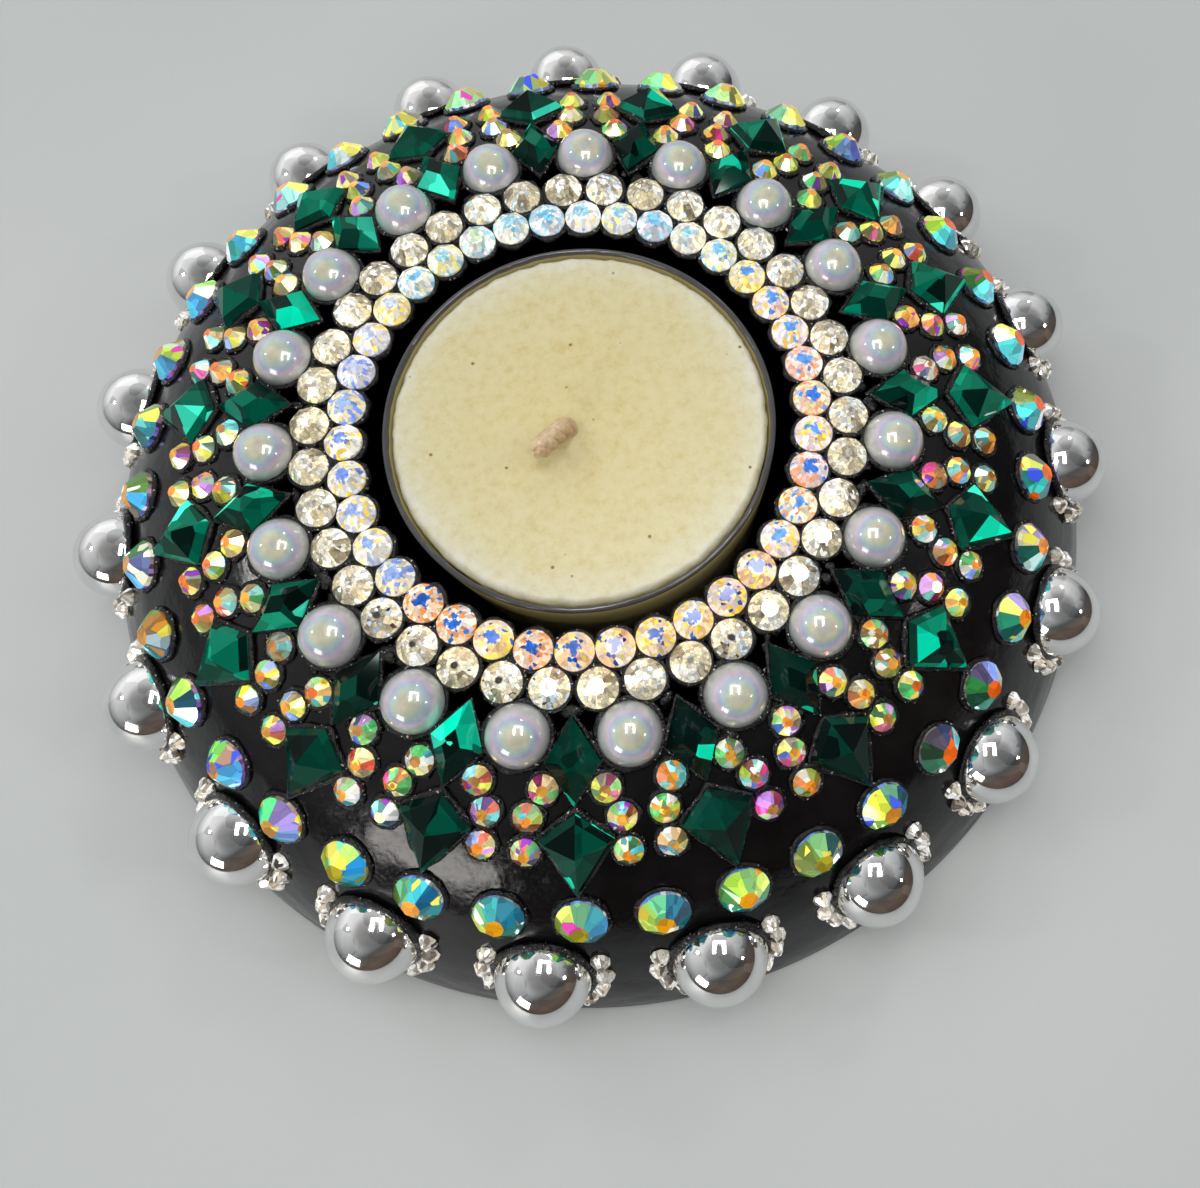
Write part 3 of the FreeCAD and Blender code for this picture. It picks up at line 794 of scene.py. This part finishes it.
def clearPainter(chance, place):
    table, heart = chance.choice(clearTones["table"]), clearTones["darkHeart"]
    # painted shade: most stones at the bottom of the picture keep the dark middle
    if sideOf(place) != "bottom" or chance.random() >= 0.6:
        heart = chance.choice(clearTones["heart"])
    fleck = chance.choice(clearTones["fleck"])

    def chooseTint(up, outward):
        if up > tableUp:
            return table
        return dimmed(chance.choice(clearTones["facet"]), chance.uniform(0.82, 1.04))

    return chooseTint, heart, fleck


auroras = {
    "name": "auroraStones", "node": "aurora_stones", "slot": "aurora_glass",
    "radius": 2.45, "girdle": 0.5, "height": 1.95, "table": 0.36, "sides": 32,
    "turn": 180, "tilt": 3.0, "slip": 0.06, "seed": 13,
}
auroraTones = {
    # painted reflection: facet colours in order round the stone, from its uphill side, one set for
    # each side of the picture
    "bottom": [(110, 230, 240), (50, 190, 206), (220, 242, 60), (24, 120, 74), (30, 130, 196),
               (190, 236, 90)],
    "right": [(226, 244, 80), (160, 214, 50), (30, 100, 44), (40, 176, 160), (110, 226, 236),
              (110, 84, 200)],
    "top": [(236, 248, 110), (150, 226, 110), (80, 196, 220), (248, 250, 214), (120, 226, 206),
            (220, 204, 80)],
    "left": [(196, 240, 70), (70, 190, 84), (40, 186, 186), (60, 150, 200), (200, 120, 200),
             (244, 240, 90)],
}
# painted light: table colours chosen by the side of the picture
auroraHearts = {
    "bottom": [(244, 170, 20), (232, 150, 10), (170, 160, 40)],
    "right": [(240, 104, 20), (226, 90, 16), (246, 140, 30)],
    "top": [(244, 176, 40), (236, 150, 30)],
    "left": [(226, 150, 20), (190, 130, 30)],
}
auroraFlecks = [(255, 252, 226), (250, 240, 90), (226, 60, 180), (60, 90, 230), (120, 240, 240)]


def auroraPainter(chance, place):
    side = sideOf(place, chance.uniform(-10, 10))
    tones, heart = auroraTones[side], chance.choice(auroraHearts[side])
    start = chance.uniform(-0.5, 0.5)

    def chooseTint(up, outward):
        if up > tableUp:
            return heart
        # painted reflection: each facet's colour follows the way it faces in the picture, and the
        # steep ones lean to violet
        azimuth = math.degrees(math.atan2(outward.y, outward.x)) + pictureTurn - 90
        step = (azimuth / 60 + start) % 6
        low = int(step)
        colour = blendTones(tones[low], tones[(low + 1) % 6], step - low)
        if up < 0.45:
            colour = blendTones(colour, (104, 70, 170), 0.55)
        bright = chance.choice([0.55, 0.85, 1.0, 1.15, 1.25])
        # painted glints: a few facets are blended towards white
        if chance.random() < 0.08:
            colour = blendTones(colour, (255, 255, 250), 0.7)
        return dimmed(colour, bright)

    return chooseTint, heart, chance.choice(auroraFlecks)


accents = {
    "name": "accentStones", "node": "accent_stones", "slot": "aurora_glass",
    "radius": 1.375, "girdle": 0.3, "height": 1.25, "table": 0.38, "sides": 16,
    "turn": 180, "tilt": 4.0, "slip": 0.07, "seed": 14,
    "spots": [(-1.7, 2.8), (0.8, 4.25), (3.7, 4.65)],    # downhill and sideways from the kite
}
accentTones = [
    (248, 226, 60), (196, 230, 60), (60, 176, 90), (176, 110, 226), (236, 60, 150), (248, 130, 50),
    (120, 226, 226), (226, 80, 60), (250, 240, 190), (250, 246, 232), (232, 190, 130),
    (90, 130, 230)]
# painted light: extra tints for each side of the picture, as the light falls there
accentLean = {
    "bottom": [(120, 200, 120), (230, 200, 120)],
    "right": [(240, 120, 50), (90, 190, 190), (244, 220, 90)],
    "top": [(240, 232, 90), (176, 196, 70), (214, 206, 150), (150, 160, 70)],
    "left": [(240, 220, 80), (150, 190, 80), (120, 170, 150), (196, 170, 90)],
}
accentHearts = [(236, 140, 40), (226, 110, 40), (214, 150, 50), (240, 166, 60), (170, 120, 60)]
accentFlecks = [(255, 250, 235), (250, 236, 110), (150, 60, 190), (90, 190, 200)]


def accentPainter(chance, place):
    side = sideOf(place, chance.uniform(-16, 16))
    # painted light: tints chosen by the side of the picture
    mine = chance.sample(accentTones, 5) + accentLean[side]
    heart = chance.choice(accentHearts)

    def chooseTint(up, outward):
        if up > tableUp:
            return heart
        colour = blendTones(chance.choice(mine), (244, 228, 190), chance.uniform(0, 0.4))
        return dimmed(colour, chance.choice([0.6, 0.9, 1.05, 1.2]))

    return chooseTint, heart, chance.choice(accentFlecks)


sectors = dome["sectors"]
opalPlaces = ringPlaces("opal", 2 * sectors, 0)
clearPlaces = ringPlaces("clear", 2 * sectors, 0.5)
auroraPlaces = ringPlaces("aurora", 2 * sectors, 0)
accentPlaces = []
for bearing in bearings(sectors, 0.5):
    for downhill, sideways in accents["spots"]:
        radius = rings["kite"] + downhill
        swing = math.degrees(math.asin(sideways / radius))
        accentPlaces += [seat(radius, bearing - swing), seat(radius, bearing + swing)]

for stones, places, painter in (
        (opals, opalPlaces, opalPainter), (clears, clearPlaces, clearPainter),
        (auroras, auroraPlaces, auroraPainter), (accents, accentPlaces, accentPainter)):
    setStones(stones, cutBrilliant(stones), places, painter)
print("round stones set")


lozenge = {
    "name": "emeraldLozenges", "node": "emerald_lozenges", "slot": "emerald_glass",
    "outline": [(4.0, 0), (0, 2.5), (-4.0, 0), (0, -2.5)],
    "height": 1.9, "radius": 4.0, "turn": 3, "tilt": 2.0, "slip": 0.08, "seed": 15,
    "tiers": [
        {"low": 0.5, "top": 1.5, "share": 1.0, "inner": 0.55},
        {"low": 1.2, "top": 1.9, "share": 0.74, "inner": 0.3},
        {"low": 0.3, "top": 1.2, "share": 0.99, "inner": 0.82},
    ],
}
kite = {
    "name": "emeraldKites", "node": "emerald_kites", "slot": "emerald_glass",
    "outline": [(4.698, 0), (-0.972, 3.45), (-3.402, 0), (-0.972, -3.45)],
    "height": 2.5, "radius": 4.5, "turn": 3, "tilt": 2.5, "slip": 0.08, "seed": 16,
    "tiers": [
        {"low": 0.5, "top": 2.5, "share": 1.0, "inner": 0.45},
        {"low": 1.1, "top": 2.5, "share": 0.84, "inner": 0.0},
    ],
}
emeraldTones = [
    (0, 58, 44), (0, 84, 64), (0, 36, 28), (0, 98, 74), (0, 24, 19), (0, 114, 87), (0, 70, 53),
    (0, 48, 38)]
emeraldHearts = [(0, 18, 15), (0, 112, 88), (0, 52, 42)]
# painted highlights: bright aqua for the flashes of light on the facets and in the flecks
emeraldPaintedFlash = [(0, 206, 166), (8, 166, 132), (60, 226, 192)]
# painted shade: the emeralds at the bottom and top of the picture are darkened
emeraldShadeBySide = {"bottom": 0.55, "top": 0.75, "left": 1.0, "right": 1.0}    # how bright they are



def emeraldPainter(chance, place):
    # painted shade: each stone is blended towards black by its side of the picture
    bright = emeraldShadeBySide[sideOf(place)]

    def chooseTint(up, outward):
        colour = blendTones((0, 0, 0), chance.choice(emeraldTones), bright)
        # painted highlight: a few facets take a flash colour
        if chance.random() < (0.09 if up < 0.75 else 0.03):
            colour = chance.choice(emeraldPaintedFlash)
        return dimmed(colour, chance.uniform(0.85, 1.15))

    return chooseTint, chance.choice(emeraldHearts), chance.choice(emeraldPaintedFlash)


lozengePlaces = ringPlaces("lozenge", sectors, 0.5)
kiteSlope = math.asin((rings["kite"] - dome["land"]) / dome["arc"])
kiteReach = rings["kite"] - kite["outline"][2][0] * math.cos(kiteSlope)
kitePlaces = [seat(kiteReach, bearing) for bearing in bearings(sectors, 0.5)]
setStones(lozenge, cutOutlinedStone(lozenge), lozengePlaces, emeraldPainter)
setStones(kite, cutOutlinedStone(kite), kitePlaces, emeraldPainter)
print("emeralds set")


# half-pearls and silver half-beads

pearls = {"radius": 3.0, "steps": 48, "rows": 22, "seed": 21}
beads = {"radius": 4.75, "steps": 64, "rows": 30, "seed": 22}
# partly painted light: the pearls are coloured in rings round this fixed direction, where the
# highlight sits, and darker towards the rim
paintedHighlightSide = Vector((0.02, -0.2, 0.98)).normalized()    # the lustre runs in soft rings round this


def halfRound(name, setting):
    # a quarter circle spun round, with a small flat foot
    radius = setting["radius"]
    points = [(0, 0), (radius * 0.5, 0), (radius * 0.96, 0.0), (radius * 0.995, 0.1)]
    points += arcPoints(0, 0, radius, 5, 90, setting["rows"])
    points[-1] = (0, radius)
    model = latheProfile(name, points, setting["steps"])
    smoothShade(model, 60)
    return model


def pearlLustre():
    material, tree, place = newMaterial("pearlLustre")
    lustre = addAttribute(tree, "lustre", "Fac")
    shifted = addMath(tree, "MULTIPLY_ADD", addNoise(tree, place, 260.0, 2.0), 0.3, lustre)
    # the tinted rings are the pearls' own lustre, laid round the highlight side as painted light;
    # the grey rim ends in painted shade
    band = addRamp(
        tree, shifted, (0.1, (184, 185, 182)), (0.18, (204, 200, 170)), (0.26, (176, 198, 190)),
        (0.34, (172, 182, 208)), (0.43, (202, 184, 198)), (0.53, (186, 188, 188)),
        (0.72, (172, 175, 174)), (0.95, (138, 141, 140)))
    veil = addRamp(
        tree, addNoise(tree, place, 900.0, 3.0), (0.35, (226, 228, 232)), (0.65, (255, 255, 255)))
    return setShader(
        material, Roughness=0.26, IOR=1.5, Coat_Weight=1.0, Coat_Roughness=0.07, Coat_IOR=1.6,
        Base_Color=addMix(tree, 0.8, band, veil, "MULTIPLY"))


def silverMirror():
    material, tree, place = newMaterial("silverMirror")
    haze = addNoise(tree, place, 420.0, 5.0)
    rough = addRamp(tree, haze, (0.35, 0.035), (0.75, 0.12))
    colour = addRamp(tree, haze, (0.3, (226, 227, 228)), (0.7, (240, 240, 238)))
    return setShader(
        material, Metallic=1.0, Roughness=rough, Base_Color=colour,
        Normal=addBump(tree, haze, 0.05, 0.05))


def setHalfRounds(label, node, setting, places, slot, material):
    model = halfRound(label + "Model", setting)
    chance = random.Random(setting["seed"])
    for index, place in enumerate(places, 1):
        tilt = spun(chance.uniform(-1.5, 1.5), "X")
        half = addObject("%s%02d" % (label, index), model.data.copy())
        whole = place @ tilt @ Matrix.Rotation(chance.uniform(0, 6.28), 4, "Z")
        turned = whole.to_3x3()
        lustre = half.data.attributes.new("lustre", "FLOAT", "POINT")
        for vertex in half.data.vertices:
            facing = (turned @ vertex.co).normalized().dot(paintedHighlightSide)
            lustre.data[vertex.index].value = 1 - facing
        half.data.transform(whole)
        finishPiece(half, "holder", slot, material, "%s_%02d" % (node, index))
    bpy.data.objects.remove(model)


pearlPlaces = ringPlaces("pearl", sectors, 0)
beadPlaces = ringPlaces("bead", sectors, -0.25)
setHalfRounds("pearl", "pearl", pearls, pearlPlaces, "pearl_lustre", pearlLustre())
setHalfRounds("silverBead", "silver_bead", beads, beadPlaces, "silver_mirror", silverMirror())


# garlands of tiny crystals round the lower side of every half-bead

crystals = {
    "name": "crystalGarlands", "node": "crystal_garlands", "slot": "tiny_crystal",
    "radius": 1.0, "girdle": 0.3, "height": 1.0, "table": 0.4, "sides": 8,
    "turn": 180, "tilt": 14, "slip": 0.1, "seed": 17,
    "count": 11,
    "rise": 22.0,    # how far each end climbs past the middle of the bead
    "gap": 0.15,
}
crystalTones = [(236, 230, 216), (206, 198, 184), (140, 134, 122), (252, 252, 248), (222, 208, 186)]
crystalHearts = [(236, 232, 222), (92, 86, 78)]


def crystalPainter(chance, place):
    def chooseTint(up, outward):
        return dimmed(chance.choice(crystalTones), chance.uniform(0.85, 1.05))

    # the near-white fleck colour is a painted sparkle
    return chooseTint, chance.choice(crystalHearts), (255, 254, 248)


def makeGarlands():
    model = cutRoundStone(crystals, [
        {"count": 8, "turn": 0.0, "height": crystals["girdle"], "reach": 0.9,
         "slope": facetRise(crystals)}])
    reach = beads["radius"] + crystals["gap"] + crystals["radius"]
    beadSlope = math.asin((rings["bead"] - dome["land"]) / dome["arc"])
    sweep = 180 + 2 * crystals["rise"]
    places = []
    for bearing in bearings(sectors, -0.25):
        for index in range(crystals["count"]):
            angle = math.radians(sweep * index / (crystals["count"] - 1) - crystals["rise"])
            slope = beadSlope + reach * math.sin(angle) / dome["arc"]
            radius = dome["land"] + dome["arc"] * math.sin(slope)
            swing = math.degrees(reach * math.cos(angle) / radius)
            places.append(seat(radius, bearing + swing))
    setStones(crystals, model, places, crystalPainter)


makeGarlands()
print("pearls, beads and garlands set")


# glue: a low uneven collar round everything that is stuck on

glue = {
    "thickness": 0.36, "outset": 0.1, "tube": 0.1, "seed": 31,
    "blobRings": [(24.7, 44), (28.3, 70), (33.6, 60)],    # distance from the middle, how many
    "weights": [    # where the collars go, round what, and how thick they are
        (opalPlaces, opals, 0.85), (clearPlaces, clears, 0.85), (auroraPlaces, auroras, 0.85),
        (accentPlaces, accents, 0.9), (pearlPlaces, pearls, 1.0), (beadPlaces, beads, 1.1),
        (lozengePlaces, lozenge, 1.0), (kitePlaces, kite, 1.1)],
}


def outlineReach(outline, angle):
    # distance from the middle to the outline in one direction
    facing = [(math.cos(angle - azimuth), reach) for azimuth, reach in edgesOf(outline)]
    return min(reach / share for share, reach in facing if share > 1e-9)


def addBlobs(chance):
    # small wrinkled beads of glue that squeezed out between the rings
    deselectAll()
    bpy.ops.mesh.primitive_ico_sphere_add(subdivisions=2, radius=mm, location=(0, 0, 0))
    model = bpy.context.object
    blobs = []
    for radius, count in glue["blobRings"]:
        for _ in range(count):
            blob = addObject("glueCollars", model.data.copy())
            size, stretch = chance.uniform(0.3, 0.75), chance.uniform(0.8, 1.9)
            seed = Vector((chance.uniform(0, 50), chance.uniform(0, 50), 0))
            for vertex in blob.data.vertices:
                bump = 1 + 0.45 * noise.noise(seed + vertex.co * 1900)
                flat = Vector((vertex.co.x * stretch, vertex.co.y, vertex.co.z * 0.55))
                vertex.co = flat * bump * size
            spin = Matrix.Rotation(chance.uniform(0, 6.28), 4, "Z")
            place = seat(radius + chance.uniform(-0.5, 0.5), chance.uniform(0, 360), 0.0)
            blob.data.transform(place @ spin)
            blobs.append(blob)
    bpy.data.objects.remove(model)
    return blobs


def makeGlue():
    chance = random.Random(glue["seed"])
    deselectAll()
    bpy.ops.mesh.primitive_torus_add(
        major_segments=36, minor_segments=7, major_radius=1.0, minor_radius=glue["tube"],
        location=(0, 0, 0))
    model = bpy.context.object
    jobs = [(place, piece, weight) for places, piece, weight in glue["weights"] for place in places]
    collars = []
    for place, piece, weight in jobs:
        collar = addObject("glueCollars", model.data.copy())
        seed = Vector((chance.uniform(0, 50), chance.uniform(0, 50), chance.uniform(0, 50)))
        for vertex in collar.data.vertices:
            angle = math.atan2(vertex.co.y, vertex.co.x)
            way = Vector((math.cos(angle), math.sin(angle), 0))
            wobble, ragged = noise.noise(seed + way * 2.2), noise.noise(seed * 1.7 + way * 7)
            width = glue["thickness"] * weight * (1 + 0.45 * wobble + 0.3 * ragged) / glue["tube"]
            if "outline" in piece:
                reach = outlineReach(piece["outline"], angle) * 0.985
            else:
                reach = piece["radius"]
            reach += glue["outset"] + (vertex.co.to_2d().length - 1.0) * width + 0.1 * wobble
            height = vertex.co.z * width * 0.95
            vertex.co = Vector((way.x * reach, way.y * reach, height)) * mm
        collar.data.transform(place)
        collars.append(collar)
    bpy.data.objects.remove(model)
    joined = joinUp("glueCollars", collars + addBlobs(chance))
    smoothShade(joined)
    finishPiece(joined, "holder", "black_gloss", finish["glue"])


makeGlue()
print("glue laid")


# floor, light and camera, in metres

room = {
    "floor": 1.6,
    "background": (0.44, 0.46, 0.46, 1),
    "brightSide": (-0.25, 0.72, 0.65),    # where the room is brightest
    "cells": 1.9,                         # how fine its patches are
    "strength": 0.85,
}


def makeRoom():
    deselectAll()
    bpy.ops.mesh.primitive_circle_add(
        vertices=96, radius=room["floor"], fill_type="NGON", location=(0, 0, 0))
    floor = bpy.context.object
    floor.name = "floor"
    material, tree, place = newMaterial("paleFloor")
    cloud = addNoise(tree, place, 9.0, 2.0)
    shade = addRamp(tree, cloud, (0.3, (186, 191, 191)), (0.7, (195, 199, 199)))
    floor.data.materials.append(setShader(material, Roughness=0.55, Base_Color=shade))


def makeSky():
    # a soft room: bright on one side, dim above, in crisp patches, and plain to the camera
    world = bpy.data.worlds.new("softRoom")
    world.use_nodes = True
    tree = world.node_tree
    way = addNode(tree, "TexCoord").outputs["Generated"]
    side = addNode(tree, "VectorMath", way, room["brightSide"],
                   operation="DOT_PRODUCT").outputs["Value"]
    colour = addRamp(
        tree, addMath(tree, "MULTIPLY_ADD", side, 0.5, 0.5), (0.28, (0.17, 0.125, 0.1, 1)),
        (0.48, 0.12), (0.6, (0.42, 0.43, 0.44, 1)), (0.78, 0.8), (0.95, 1.2))
    height = addNode(tree, "SeparateXYZ", way).outputs["Z"]
    climb = addRamp(tree, height, (0.0, 0.7), (0.35, 1.0), (0.75, 0.8), (0.9, 0.4), (1.0, 0.3))
    which, _, _ = addCells(tree, way, room["cells"])
    patches = addRamp(tree, which, (0.0, 0.6), (0.5, 0.98), (1.0, 1.3))
    for layer in (climb, patches):
        colour = addMix(tree, 1.0, colour, layer, "MULTIPLY")
    seen = addNode(tree, "LightPath").outputs["Is Camera Ray"]
    fillNode(tree, tree.nodes["Background"], {
        "Color": addMix(tree, seen, colour, room["background"]), "Strength": room["strength"]})
    bpy.context.scene.world = world


lamps = {
    # place, width, height, radiance, colour, and whether it shows in reflections
    "mainSoftbox": ((-0.55, 0.75, 1.15), 1.1, 0.8, 1.35, (1.0, 0.99, 0.97), False),
    "topSoftbox": ((0.01, -0.01, 0.24), 0.14, 0.14, 2.4, (1.0, 0.98, 0.95), False),
    "sideSoftbox": ((1.0, -0.2, 0.8), 0.5, 0.9, 1.8, (0.97, 0.98, 1.0), False),
    "lowWindow": ((-0.43, -0.364, 0.178), 0.22, 0.16, 9.0, (1.0, 0.96, 0.92), True),
    "glint0": ((0.34, 0.44, 0.46), 0.045, 0.045, 45.0, (1.0, 0.98, 0.95), True),
    "glint1": ((-0.46, 0.18, 0.40), 0.045, 0.045, 45.0, (1.0, 0.98, 0.95), True),
    "glint2": ((0.46, -0.26, 0.36), 0.045, 0.045, 45.0, (1.0, 0.98, 0.95), True),
}
arch = {    # three strips that show as a small arch in every pearl and bead
    "middle": (0.008, -0.014, 0.112),
    "width": 0.056,
    "tall": 0.056,
    "strip": 0.014,
    "radiance": 13.0,
    "colour": (1.0, 0.97, 0.95),
}
view = {
    "lens": 31.84,
    "shift": (-0.1, -0.0492),
    "place": (0.0, -0.04356, 0.11916),
    "angles": (17.165, 0.051, -18.528),
}


def addPanel(name, spot, width, height, radiance, colour, mirrored):
    light = bpy.data.lights.new(name, "AREA")
    light.shape = "RECTANGLE"
    light.size = width
    light.size_y = height
    light.energy = radiance * math.pi * width * height
    light.color = colour
    panel = addObject(name, light)
    panel.location = spot
    aim = Vector((0, 0, 0.01)) - Vector(spot)
    panel.rotation_euler = aim.to_track_quat("-Z", "Y").to_euler()
    panel.visible_camera = False
    panel.visible_glossy = mirrored
    return panel


def makeLights():
    for name, lamp in lamps.items():
        addPanel(name, *lamp)
    middle, strip, tall = Vector(arch["middle"]), arch["strip"], arch["tall"]
    turn = math.radians(-pictureTurn)
    across = Vector((math.cos(turn), math.sin(turn), 0)) * (arch["width"] - strip) / 2
    upward = Vector((-math.sin(turn), math.cos(turn), 0)) * (tall - strip) / 2
    for name, spot, width, height in (
            ("archLeft", middle - across, strip, tall), ("archRight", middle + across, strip, tall),
            ("archTop", middle + upward, arch["width"] - 2 * strip, strip)):
        panel = addPanel(name, spot, width, height, arch["radiance"], arch["colour"], True)
        panel.rotation_euler = (0, 0, turn)
        panel.visible_diffuse = False


def makeCamera():
    lens = bpy.data.cameras.new("photoView")
    lens.lens = view["lens"]
    lens.sensor_width = 36.0
    lens.shift_x, lens.shift_y = view["shift"]
    lens.clip_start = 0.005
    camera = addObject("photoView", lens)
    camera.location = view["place"]
    camera.rotation_euler = [math.radians(angle) for angle in view["angles"]]
    bpy.context.scene.camera = camera


makeRoom()
makeSky()
makeLights()
makeCamera()
bpy.context.scene.view_settings.view_transform = "Standard"
print("room lit")
